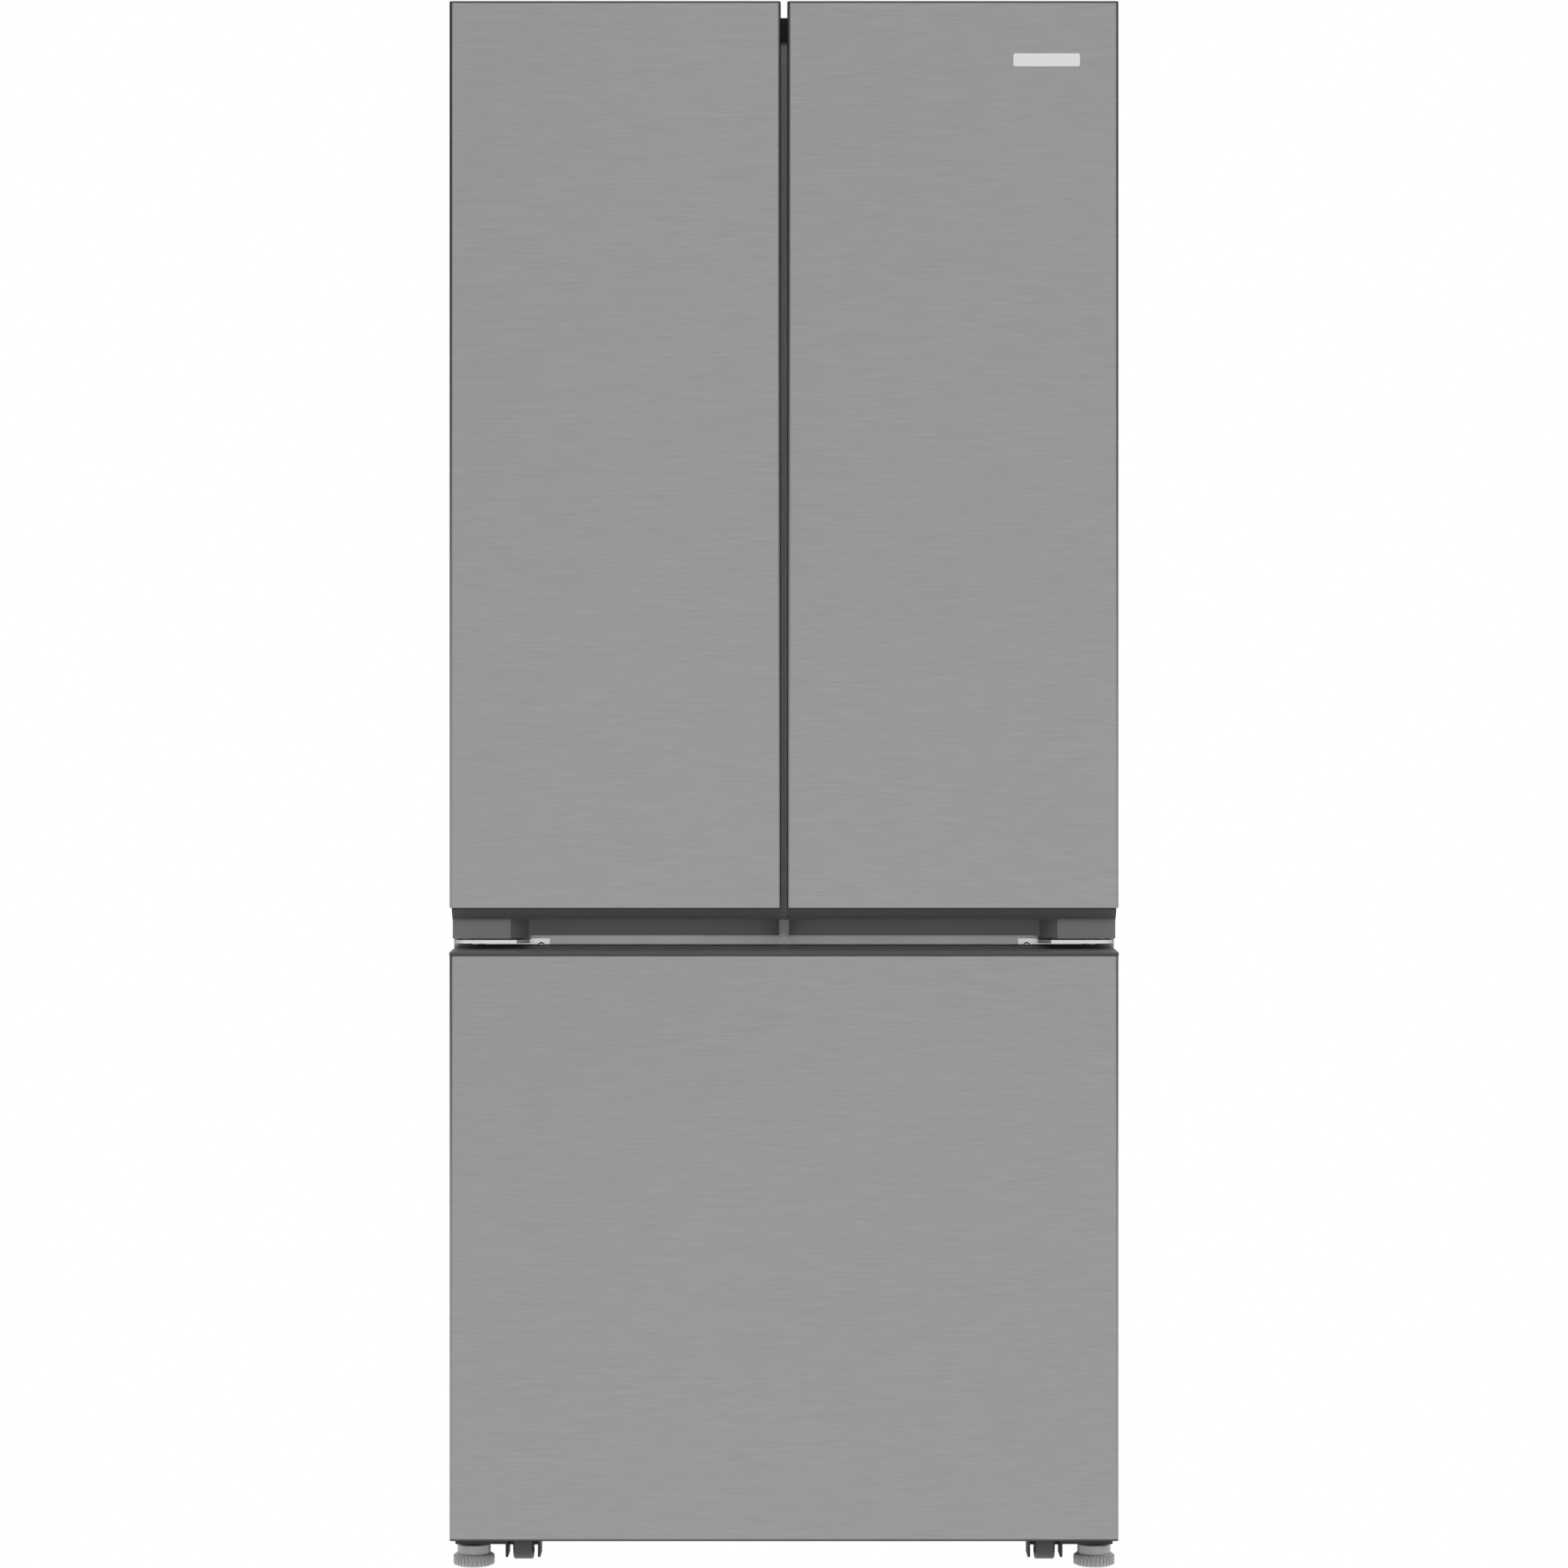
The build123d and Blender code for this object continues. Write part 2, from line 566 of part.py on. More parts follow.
rim_z = rail_z - 57
basket_half = inner_face - 22
basket = tray(-basket_half, basket_half, ridge_back + 8, 84, freezer_floor + 10, rim_z + 3, 3)
rim = span(-inner_face + 11, inner_face - 11, ridge_back + 8, 80, rim_z, rim_z + 3)
basket += rim - span(-basket_half + 1, basket_half - 1, ridge_back + 9, 83, rim_z - 1, rim_z + 4)
save("freezer_basket", basket)
upper_z = 470.0
upper = tray(-basket_half, basket_half, ridge_back + 22, 200, upper_z, upper_z + 95, 3)
upper += span(-rail_wall + 8, -basket_half + 1, ridge_back + 40, 200, upper_z + 8, upper_z + 12)
upper += span(basket_half - 1, rail_wall - 8, ridge_back + 40, 200, upper_z + 8, upper_z + 12)
save("upper_bin", upper)
freezer = freezer_out - freezer_in
for side in (-1, 1):
    freezer += span(side * (mouth - liner_wall / 2), side * (rail_wall - 16), case_front + 25, 200, upper_z, upper_z + 7.4)
save("freezer_liner", freezer)

# Crispers, which pass beside the closed mullion
crisper_in = mullion_half + 3
crisper_out = mouth - 24.0
crisper_floor = rail_high + liner_wall + 1
for side, name in ((-1, "left"), (1, "right")):
    drawer = tray(crisper_in, crisper_out, crisper_front, crisper_back, crisper_floor, crisper_top, wall)
    drawer += span(crisper_in + 90, crisper_out - 90, crisper_front - 14, crisper_front + 1, crisper_top - 26,
                   crisper_top - 20)
    save("crisper_" + name, drawer if side > 0 else mirrored(drawer))

# Rollers and feet
front_axle_y = case_front + front_axle_in
rear_axle_y = front + rear_axle_back
cheek = 3.0
cheek_gap = roller_wide / 2 + 5.5


def roller_bracket(y, z):
    """A channel that hangs from the base with a riveted axle."""
    plate = span(-cheek_gap - cheek, cheek_gap + cheek, y - 21, y + 30, case_bottom - 2, case_bottom)
    for side in (-1, 1):
        x = side * (cheek_gap + cheek / 2)
        plate += span(x - cheek / 2, x + cheek / 2, y - 21, y + 21, z - 15, case_bottom)
    return plate + rod_x(-cheek_gap - cheek, cheek_gap + cheek, y, z, axle_r)


def roller(y, z):
    wheel = rod_x(-roller_wide / 2, roller_wide / 2, y, z, roller_r)
    wheel = fillet(wheel.edges().filter_by(GeomType.CIRCLE), 2)
    return wheel - rod_x(-roller_wide, roller_wide, y, z, axle_r + pin_clear)


foot_y = front + foot_back
foot_plate_z = 27.0
foot_plate = 4.0
front_bracket = Pos(roller_x, 0, 0) * roller_bracket(front_axle_y, front_axle_z)
hanger_front = case_front + hanger_in
hanger_back = hanger_front + hanger_thick
bracket_out = half - 4
front_bracket += span(roller_x + cheek_gap, bracket_out, foot_y - 22, hanger_back, foot_plate_z,
                      foot_plate_z + foot_plate)
front_bracket += span(roller_x + cheek_gap, bracket_out, hanger_front, hanger_back, foot_plate_z, case_bottom)
front_bracket -= rod(foot_x, foot_y, foot_plate_z - 1, foot_plate_z + foot_plate + 1, stud_r + pin_clear)
rear_bracket = Pos(roller_x, 0, 0) * roller_bracket(rear_axle_y, roller_r)
save("roller_brackets", front_bracket, mirrored(front_bracket), rear_bracket, mirrored(rear_bracket))
front_wheel = roller(front_axle_y, front_axle_z)
rear_wheel = roller(rear_axle_y, roller_r)
save("front_rollers", Pos(roller_x, 0, 0) * front_wheel, Pos(-roller_x, 0, 0) * front_wheel)
save("rear_rollers", Pos(roller_x, 0, 0) * rear_wheel, Pos(-roller_x, 0, 0) * rear_wheel)

knurls = 30
ring = rod(0, 0, 0, foot_high, foot_r)
for i in range(knurls):
    ring -= Rot(0, 0, i * 360 / knurls) * Pos(foot_r + 0.4, 0, foot_high / 2) * Cylinder(1.2, foot_high + 2)
ring += rod(0, 0, foot_high, foot_high + 11, foot_r - 4.5)
ring += rod(0, 0, foot_high + 11, foot_plate_z + foot_plate + 3, stud_r)
save("foot_right", Pos(foot_x, foot_y, 0) * ring)
save("foot_left", Pos(-foot_x, foot_y, 0) * ring)
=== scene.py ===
import json
import math
import bpy
import bmesh
from mathutils import Matrix, Vector


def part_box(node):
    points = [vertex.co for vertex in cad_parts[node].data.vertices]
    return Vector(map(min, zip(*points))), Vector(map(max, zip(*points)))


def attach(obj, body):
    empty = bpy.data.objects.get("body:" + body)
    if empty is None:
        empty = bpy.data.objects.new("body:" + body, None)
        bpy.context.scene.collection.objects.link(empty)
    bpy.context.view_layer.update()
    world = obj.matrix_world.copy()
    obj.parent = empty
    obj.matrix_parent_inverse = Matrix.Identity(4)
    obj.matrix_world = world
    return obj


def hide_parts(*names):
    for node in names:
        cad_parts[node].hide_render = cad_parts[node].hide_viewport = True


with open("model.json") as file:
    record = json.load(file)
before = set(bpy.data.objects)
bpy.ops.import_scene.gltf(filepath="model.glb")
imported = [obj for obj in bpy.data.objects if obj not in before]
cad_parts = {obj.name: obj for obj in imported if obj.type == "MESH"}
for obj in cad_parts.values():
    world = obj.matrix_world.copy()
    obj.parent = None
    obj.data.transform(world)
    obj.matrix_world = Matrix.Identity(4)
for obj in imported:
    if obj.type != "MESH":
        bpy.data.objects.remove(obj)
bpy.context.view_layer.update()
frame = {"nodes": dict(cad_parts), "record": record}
nodes = frame["nodes"]
record = frame["record"]
bodyOf = {node: body for body, members in record["behaviour"]["bodies"].items() for node in members}
mm = 0.001
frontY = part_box("drawer_skin")[0].y
print("frame loaded:", len(nodes), "nodes")


# helpers for meshes and nodes

def linearColour(hexText):
    parts = [int(hexText[i:i + 2], 16) / 255 for i in (1, 3, 5)]
    return tuple(c / 12.92 if c <= 0.04045 else ((c + 0.055) / 1.055) ** 2.4 for c in parts) + (1.0,)


def addNode(tree, kind, settings=None, links=None):
    node = tree.nodes.new(kind)
    for key, value in (settings or {}).items():
        if isinstance(key, str) and hasattr(node, key):
            setattr(node, key, value)
        else:
            node.inputs[key].default_value = value
    for key, source in (links or {}).items():
        tree.links.new(source, node.inputs[key])
    return node


def meshObject(name, vertices, faces):
    mesh = bpy.data.meshes.new(name)
    mesh.from_pydata([tuple(v) for v in vertices], [], faces)
    mesh.update()
    piece = bpy.data.objects.new(name, mesh)
    bpy.context.scene.collection.objects.link(piece)
    return piece


def settle(piece):
    # turns live modifiers into a plain mesh
    depsgraph = bpy.context.evaluated_depsgraph_get()
    mesh = bpy.data.meshes.new_from_object(piece.evaluated_get(depsgraph), depsgraph=depsgraph)
    piece.modifiers.clear()
    old = piece.data
    piece.data = mesh
    if old.users == 0:
        bpy.data.meshes.remove(old)
    return piece


def smoothByAngle(piece, degrees=35):
    for polygon in piece.data.polygons:
        polygon.use_smooth = True
    piece.data.set_sharp_from_angle(angle=math.radians(degrees))


def roundEdges(piece, width, segments=2, angle=30):
    bevel = piece.modifiers.new("edges", "BEVEL")
    bevel.width = width
    bevel.segments = segments
    bevel.limit_method = "ANGLE"
    bevel.angle_limit = math.radians(angle)
    bevel.miter_outer = "MITER_ARC"
    settle(piece)
    smoothByAngle(piece, 40)
    weighted = piece.modifiers.new("normals", "WEIGHTED_NORMAL")
    weighted.keep_sharp = True
    return settle(piece)


def paint(piece, material):
    piece.data.materials.clear()
    piece.data.materials.append(material)
    for polygon in piece.data.polygons:
        polygon.material_index = 0


def fit(piece, node, material, stands=True):
    # a finished piece rides where its node does, and hides the node when it stands in for it
    paint(piece, material)
    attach(piece, bodyOf[node])
    if stands:
        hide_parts(node)
    return piece


# flat faces round an opening, which don't merge into one clean polygon
keptTriangles = {"rear_cover", "evaporator_cover", "crisper_left", "crisper_right"}


def skinArea(mesh):
    mesh.calc_loop_triangles()
    return sum(triangle.area for triangle in mesh.loop_triangles)


def finishedCopy(node, width, material, segments=2):
    # the node's own shape with its edges eased as a moulding or a pressing has them
    piece = bpy.data.objects.new(node + "_finished", nodes[node].data.copy())
    bpy.context.scene.collection.objects.link(piece)
    work = bmesh.new()
    work.from_mesh(piece.data)
    bmesh.ops.remove_doubles(work, verts=work.verts, dist=1e-5)
    if node not in keptTriangles:
        bmesh.ops.dissolve_limit(work, angle_limit=math.radians(1.5), verts=work.verts, edges=work.edges)
    work.to_mesh(piece.data)
    work.free()
    area = skinArea(piece.data)
    roundEdges(piece, width, segments)
    if skinArea(piece.data) > area:
        print("a face closed over an opening in", node)
    return fit(piece, node, material)


def surface(name, look):
    # one grain, as colour, roughness and relief, over a principled surface
    material = bpy.data.materials.new(name)
    material.use_nodes = True
    tree = material.node_tree
    shader = tree.nodes["Principled BSDF"]
    shader.inputs["Metallic"].default_value = look.get("metallic", 0.0)
    if look.get("ior"):
        shader.inputs["IOR"].default_value = look["ior"]
    if look.get("clear"):
        shader.inputs["Transmission Weight"].default_value = look["clear"]
    if look.get("coat"):
        shader.inputs["Coat Weight"].default_value = look["coat"]
        shader.inputs["Coat Roughness"].default_value = look.get("coatRoughness", 0.1)
    coords = addNode(tree, "ShaderNodeTexCoord")
    grain = look["grainMm"]
    stretch = look.get("stretch", (1, 1, 1))
    scale = [1 / (grain * mm * s) for s in stretch]
    mapping = addNode(tree, "ShaderNodeMapping", {"Scale": scale}, {"Vector": coords.outputs["Object"]})
    noise = addNode(tree, "ShaderNodeTexNoise", {"Scale": 1.0, "Detail": look.get("detail", 3.0), "Roughness": 0.6},
                    {"Vector": mapping.outputs[0]})
    cloud = addNode(tree, "ShaderNodeTexNoise", {"Scale": look.get("cloudScale", 6.0), "Detail": 2.0},
                    {"Vector": coords.outputs["Object"]})
    colour = linearColour(look["colour"])
    spread = look.get("spread", 0.04)
    dark = tuple(c * (1 - spread) for c in colour[:3]) + (1.0,)
    light = tuple(min(1.0, c * (1 + spread)) for c in colour[:3]) + (1.0,)
    ramp = addNode(tree, "ShaderNodeValToRGB", {}, {"Fac": noise.outputs["Fac"]})
    ramp.color_ramp.elements[0].position = 0.3
    ramp.color_ramp.elements[1].position = 0.7
    ramp.color_ramp.elements[0].color = dark
    ramp.color_ramp.elements[1].color = light
    tree.links.new(ramp.outputs["Color"], shader.inputs["Base Color"])
    rough = look["roughness"]
    swing = look.get("roughSwing", 0.05)
    span = addNode(tree, "ShaderNodeMapRange", {"From Min": 0.3, "From Max": 0.7, "To Min": rough - swing,
                                                 "To Max": rough + swing}, {"Value": cloud.outputs["Fac"]})
    tree.links.new(span.outputs["Result"], shader.inputs["Roughness"])
    bump = addNode(tree, "ShaderNodeBump", {"Strength": look.get("relief", 0.15),
                   "Distance": look.get("depthMm", 0.05) * mm}, {"Height": noise.outputs["Fac"]})
    tree.links.new(bump.outputs["Normal"], shader.inputs["Normal"])
    return material


finishes = {
    # cold rolled stainless sheet, belt brushed along the width: long fine streaks
    "brushedStainless": dict(colour="#9B9B9C", metallic=1.0, roughness=0.34, grainMm=1.3, stretch=(24, 24, 1),
                             spread=0.06, detail=4.0, relief=0.10, depthMm=0.03, roughSwing=0.02, cloudScale=3.0),
    # steel sheet under a stoved textured enamel: faint orange peel
    "enamelledCase": dict(colour="#8E8F91", roughness=0.42, grainMm=1.6, spread=0.03, relief=0.3, depthMm=0.05,
                          roughSwing=0.015),
    # the middle rail, silver metallic enamel
    "enamelledRail": dict(colour="#B9B9B9", metallic=0.75, roughness=0.34, grainMm=1.4, spread=0.03, relief=0.1,
                          depthMm=0.03),
    # hot dip galvanised sheet: soft spangle
    "galvanisedSheet": dict(colour="#A9ADB0", metallic=0.9, roughness=0.46, grainMm=9.0, spread=0.12, relief=0.08,
                            depthMm=0.03),
    # pressed steel with bright zinc plating
    "zincPlatedSteel": dict(colour="#D4D4D6", metallic=1.0, roughness=0.24, grainMm=2.0, spread=0.05, relief=0.08,
                            depthMm=0.02),
    # ABS moulded in a spark eroded tool: dark grey, fine matt texture
    "mouldedAbsDark": dict(colour="#626265", roughness=0.52, grainMm=0.8, spread=0.05, relief=0.3, depthMm=0.04,
                           ior=1.53),
    # the same plastic, darker as painted shade and closer textured, for faces that look outwards
    "mouldedAbsPaintedShade": dict(colour="#3A3A3C", roughness=0.55, grainMm=0.7, spread=0.05, relief=0.25, depthMm=0.04,
                          ior=1.53),
    # pressed steel painted near black, as painted shade for the brackets in the shade under the cabinet
    "nearBlackSteelShade": dict(colour="#242426", roughness=0.62, grainMm=1.2, spread=0.1, relief=0.2, depthMm=0.03),
    # the same plastic in black
    "mouldedAbsBlack": dict(colour="#161617", roughness=0.5, grainMm=0.8, spread=0.1, relief=0.3, depthMm=0.04,
                            ior=1.53),
    # the mullion's face, satin painted sheet
    "mullionPaint": dict(colour="#E6E6E8", roughness=0.5, grainMm=1.2, spread=0.03, relief=0.15, depthMm=0.03),
    # vacuum formed high impact polystyrene: glossy white, slightly uneven
    "formedWhite": dict(colour="#E9EBEC", roughness=0.30, grainMm=6.0, spread=0.012, relief=0.10, depthMm=0.05,
                        ior=1.59,
                        roughSwing=0.012),
    # injection moulded clear SAN, for bins and crispers
    "clearSan": dict(colour="#EAF2F6", roughness=0.07, grainMm=8.0, spread=0.01, relief=0.05, depthMm=0.03, ior=1.57,
                     clear=0.85, roughSwing=0.02),
    # toughened float glass
    "toughenedGlass": dict(colour="#DCEDE8", roughness=0.03, grainMm=20.0, spread=0.01, relief=0.02, depthMm=0.02,
                           ior=1.52,
                           clear=0.9, roughSwing=0.01),
    # extruded soft PVC
    "gasketVinyl": dict(colour="#77787A", roughness=0.6, grainMm=1.0, spread=0.04, relief=0.2, depthMm=0.03),
    # rigid polyurethane foam, cut face
    "rigidFoam": dict(colour="#E2D3A4", roughness=0.85, grainMm=2.0, spread=0.08, relief=0.6, depthMm=0.3),
    # drawn aluminium, thin fin stock
    "finAluminium": dict(colour="#C9CBCD", metallic=1.0, roughness=0.38, grainMm=1.5, stretch=(1, 1, 12),
                         spread=0.05),
    # black stoved enamel over steel
    "blackEnamel": dict(colour="#1B1B1D", roughness=0.3, grainMm=1.5, spread=0.1, relief=0.2, depthMm=0.04, coat=0.3),
    # opal acrylic diffuser
    "opalAcrylic": dict(colour="#F4F3EC", roughness=0.35, grainMm=3.0, spread=0.01, relief=0.1, depthMm=0.03),
    # bright nickel and chrome plate on ABS
    "chromePlate": dict(colour="#DADADC", metallic=1.0, roughness=0.12, grainMm=3.0, spread=0.02, relief=0.03,
                        depthMm=0.01),
    # glass filled nylon, grey, for the feet
    "greyNylon": dict(colour="#A4A4A6", roughness=0.42, grainMm=0.9, spread=0.05, relief=0.25, depthMm=0.03,
                      metallic=0.35),
    # acetal wheels
    "darkAcetal": dict(colour="#39393B", roughness=0.38, grainMm=1.2, spread=0.05, relief=0.15, depthMm=0.03),
}
finish = {name: surface(name, look) for name, look in finishes.items()}
print("materials:", len(finish))


# the camera stands well back, so that the sides hardly show
cameraSet = {"distance": 5.2, "height": 0.892, "sensor": 36.0, "frameWidth": 1.7704}
cameraData = bpy.data.cameras.new("camera")
cameraData.sensor_width = cameraSet["sensor"]
cameraData.lens = cameraSet["sensor"] * cameraSet["distance"] / cameraSet["frameWidth"]
cameraData.clip_end = 100.0
camera = bpy.data.objects.new("camera", cameraData)
camera.location = (0.0, frontY - cameraSet["distance"], cameraSet["height"])
camera.rotation_euler = (math.radians(90), 0.0, 0.0)
bpy.context.scene.collection.objects.link(camera)
bpy.context.scene.camera = camera
bpy.context.scene.view_settings.view_transform = "Standard"

floorSize = 60.0
floor = meshObject("floor", [(-floorSize, -floorSize, 0), (floorSize, -floorSize, 0), (floorSize, floorSize, 0),
                             (-floorSize, floorSize, 0)], [(0, 1, 2, 3)])
# a white sweep that glows as evenly as a light table
floorPaint = bpy.data.materials.new("lightTable")
floorPaint.use_nodes = True
floorShader = floorPaint.node_tree.nodes["Principled BSDF"]
floorShader.inputs["Base Color"].default_value = (0.0, 0.0, 0.0, 1.0)
floorShader.inputs["Specular IOR Level"].default_value = 0.0
floorShader.inputs["Emission Color"].default_value = (1.0, 1.0, 1.0, 1.0)
floorShader.inputs["Emission Strength"].default_value = 1.0
paint(floor, floorPaint)

# a white room, dimmer behind the camera and dark at both sides, so that rounded edges read
worldSet = {"white": 1.0, "frontDrop": 0.02, "leftDrop": 1.0, "leftFrom": 0.3, "leftTo": 0.75,
            "rightDrop": 0.95, "rightFrom": 0.45, "rightTo": 0.9}
world = bpy.data.worlds.new("studio")
world.use_nodes = True
bpy.context.scene.world = world
tree = world.node_tree
direction = addNode(tree, "ShaderNodeTexCoord")
axes = addNode(tree, "ShaderNodeSeparateXYZ", {}, {0: direction.outputs["Generated"]})


def shadeBetween(source, start, end, drop):
    return addNode(tree, "ShaderNodeMapRange", {"interpolation_type": "SMOOTHSTEP", "From Min": start,
                   "From Max": end, "To Min": 0.0, "To Max": drop}, {"Value": source}).outputs[0]


leftShade = shadeBetween(axes.outputs["X"], -worldSet["leftFrom"], -worldSet["leftTo"], worldSet["leftDrop"])
rightShade = shadeBetween(axes.outputs["X"], worldSet["rightFrom"], worldSet["rightTo"], worldSet["rightDrop"])
frontShade = shadeBetween(axes.outputs["Y"], 0.1, -0.7, worldSet["frontDrop"])
sides = addNode(tree, "ShaderNodeMath", {"operation": "ADD"}, {0: leftShade, 1: rightShade})
shades = addNode(tree, "ShaderNodeMath", {"operation": "ADD"}, {0: sides.outputs[0], 1: frontShade})
level = addNode(tree, "ShaderNodeMath", {"operation": "SUBTRACT", 0: worldSet["white"]}, {1: shades.outputs[0]})
seen = addNode(tree, "ShaderNodeLightPath")
strength = addNode(tree, "ShaderNodeMath", {"operation": "MAXIMUM"}, {0: level.outputs[0],
                   1: seen.outputs["Is Camera Ray"]})
tree.nodes["Background"].inputs["Color"].default_value = (1.0, 1.0, 1.0, 1.0)
tree.links.new(strength.outputs[0], tree.nodes["Background"].inputs["Strength"])

lamps = {  # place, size in m, power in W: none of them shows in the steel
    "softbox": ((-0.8, frontY - 2.4, 3.2), 2.4, 30.0),
    "leftFill": ((-3.2, -0.6, 1.6), 2.0, 45.0),
    "rightFill": ((3.2, -0.6, 1.6), 2.0, 45.0),
}
for name, (place, size, power) in lamps.items():
    lampData = bpy.data.lights.new(name, "AREA")
    lampData.size = size
    lampData.energy = power
    lamp = bpy.data.objects.new(name, lampData)
    lamp.location = place
    lamp.visible_glossy = False
    lamp.visible_camera = False
    aim = Vector((0, 0, 0.9)) - Vector(place)
    lamp.rotation_euler = aim.to_track_quat("-Z", "Y").to_euler()
    bpy.context.scene.collection.objects.link(lamp)
print("stage set")


# the brushed skins: corner radius, sheet, rolled edge and the steps of each
skinSet = {"edge": 4.5 * mm, "sheet": 0.64 * mm, "roll": 0.8 * mm, "arcSteps": 8, "rollSteps": 4}


def skinPath(x0, x1, yFront, yBack, inset):
    # the sheet's plan, from the back of one side round the front to the back of the other
    radius = skinSet["edge"] - inset
    steps = skinSet["arcSteps"]
    left, right, face = x0 + inset, x1 - inset, yFront + inset
    path = [(left, yBack)]
    for i in range(steps + 1):
        turn = math.pi / 2 * i / steps
        path.append((left + radius - radius * math.cos(turn), face + radius - radius * math.sin(turn)))
    for i in range(steps + 1):
        turn = math.pi / 2 * i / steps
        path.append((right - radius + radius * math.sin(turn), face + radius - radius * math.cos(turn)))
    path.append((right, yBack))
    return path


def formedSkin(node, pocketSide=0):
    low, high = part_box(node)
    roll = skinSet["roll"]
    bottom = []
    for i in reversed(range(skinSet["rollSteps"] + 1)):
        turn = math.pi / 2 * i / skinSet["rollSteps"]
        bottom.append((low.z + roll - roll * math.sin(turn), roll - roll * math.cos(turn)))
    top = [(low.z + high.z - z, inset) for z, inset in reversed(bottom)]
    vertices, faces = [], []
    rows = bottom + top
    for z, inset in rows:
        vertices += [(x, y, z) for x, y in skinPath(low.x, high.x, low.y, high.y, inset)]
    count = len(vertices) // len(rows)
    for r in range(len(rows) - 1):
        for c in range(count - 1):
            a = r * count + c
            faces.append((a, a + 1, a + count + 1, a + count))
    piece = meshObject(node + "_formed", vertices, faces)
    solid = piece.modifiers.new("sheet", "SOLIDIFY")
    solid.thickness = skinSet["sheet"]
    solid.offset = -1
    settle(piece)
    if pocketSide:
        cutPocket(piece, pocketSide, low, high)
    smoothByAngle(piece, 30)
    return fit(piece, node, finish["brushedStainless"])


boxFaces = [(0, 2, 3, 1), (4, 5, 7, 6), (0, 1, 5, 4), (2, 6, 7, 3), (0, 4, 6, 2), (1, 3, 7, 5)]


def cutPocket(piece, side, low, high):
    # leaves room for the top hinge arm in the side of the door
    pocket = {"reach": 80 * mm, "lip": 6 * mm, "floor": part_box("top_hinge_plates")[1].z - 4.5 * mm}
    x0, x1 = sorted((side * (abs(high.x if side > 0 else low.x) + 5 * mm),
                     side * (abs(high.x if side > 0 else low.x) - pocket["reach"])))
    y0, y1, z0, z1 = low.y + pocket["lip"], high.y + 5 * mm, pocket["floor"], high.z + 5 * mm
    corners = [(x, y, z) for z in (z0, z1) for y in (y0, y1) for x in (x0, x1)]
    cutter = meshObject("pocketCutter", corners, boxFaces)
    cut = piece.modifiers.new("pocket", "BOOLEAN")
    cut.operation = "DIFFERENCE"
    cut.solver = "EXACT"
    cut.object = cutter
    settle(piece)
    bpy.data.objects.remove(cutter)


formedSkin("left_door_skin", -1)
formedSkin("right_door_skin", 1)
formedSkin("drawer_skin")
print("skins formed")


# mouldings and pressings that keep the frame's shape, each with its edge in mm and its finish
easedEdges = {
    "left_door_caps": (0.7, "mouldedAbsDark"), "right_door_caps": (0.7, "mouldedAbsDark"),
    "drawer_caps": (0.6, "mouldedAbsDark"), "mullion_guide": (0.25, "mouldedAbsBlack"),
    "mullion_bar": (0.8, "mullionPaint"), "mid_rail": (0.5, "enamelledRail"),
    "mid_hinge_plates": (0.8, "zincPlatedSteel"), "top_hinge_plates": (0.8, "zincPlatedSteel"),
    "hinge_spacers": (0.25, "mouldedAbsBlack"), "top_hinge_covers": (0.6, "mouldedAbsDark"),
    "outer_case": (0.4, "enamelledCase"), "fridge_liner": (0.9, "formedWhite"), "freezer_liner": (0.9, "formedWhite"),
    "left_door_liner": (0.9, "formedWhite"), "right_door_liner": (0.9, "formedWhite"),
    "drawer_liner": (0.9, "formedWhite"), "left_door_bins": (1.0, "clearSan"), "right_door_bins": (1.0, "clearSan"),
    "crisper_left": (1.0, "clearSan"), "crisper_right": (1.0, "clearSan"), "crisper_cover": (1.0, "formedWhite"),
    "shelf_frames": (0.8, "formedWhite"), "glass_shelves": (0.5, "toughenedGlass"), "lamp_lens": (1.5, "opalAcrylic"),
    "control_panel": (1.0, "formedWhite"), "air_duct": (1.5, "formedWhite"), "evaporator_cover": (0.6, "formedWhite"),
    "freezer_basket": (1.0, "formedWhite"), "upper_bin": (1.0, "formedWhite"), "drain_pan": (0.6, "mouldedAbsBlack"),
    "drawer_side_frames": (0.4, "galvanisedSheet"), "fixed_rails": (0.3, "galvanisedSheet"),
    # the roller brackets take near black as painted shade under the cabinet
    "middle_rails": (0.4, "galvanisedSheet"), "roller_brackets": (0.5, "nearBlackSteelShade"),
    "power_inlet": (1.0, "mouldedAbsBlack"), "rear_cover": (0.25, "galvanisedSheet"),
    "base_tray": (0.4, "galvanisedSheet"), "compressor": (0.8, "blackEnamel"),
}
eased = {node: finishedCopy(node, edge * mm, finish[look]) for node, (edge, look) in easedEdges.items()}
print("edges eased:", len(eased))


# how far back the outward faces of each cap reach, which take painted shade, darker than the grip's walls behind them
lipShadeDepths = {"left_door_caps": 16 * mm, "right_door_caps": 16 * mm, "drawer_caps": 1 * mm}
for node, depth in lipShadeDepths.items():
    piece = eased[node]
    piece.data.materials.append(finish["mouldedAbsPaintedShade"])
    for polygon in piece.data.polygons:
        if polygon.center.y < frontY + depth:
            polygon.material_index = 1

shadowSet = {"high": 2.0 * mm, "tuck": 0.3 * mm, "back": 1.3 * mm, "thick": 2.0 * mm, "short": 3.0 * mm,
             "edge": 0.4 * mm}


def paintedShadowStrip(side):
    # a black strip as painted shadow along the shade line between the skin's lower edge and the cap
    low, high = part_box(side + "_door_skin")
    s = shadowSet
    corners = [(x, y, z) for z in (low.z - s["high"], low.z + s["tuck"])
               for y in (low.y + s["back"], low.y + s["back"] + s["thick"])
               for x in (low.x + s["short"], high.x - s["short"])]
    piece = meshObject(side + "DoorBead", corners, boxFaces)
    roundEdges(piece, s["edge"])
    # black plastic standing in for the shadow under the skin's lower edge
    fit(piece, side + "_door_caps", finish["mouldedAbsBlack"], stands=False)


paintedShadowStrip("left")
paintedShadowStrip("right")

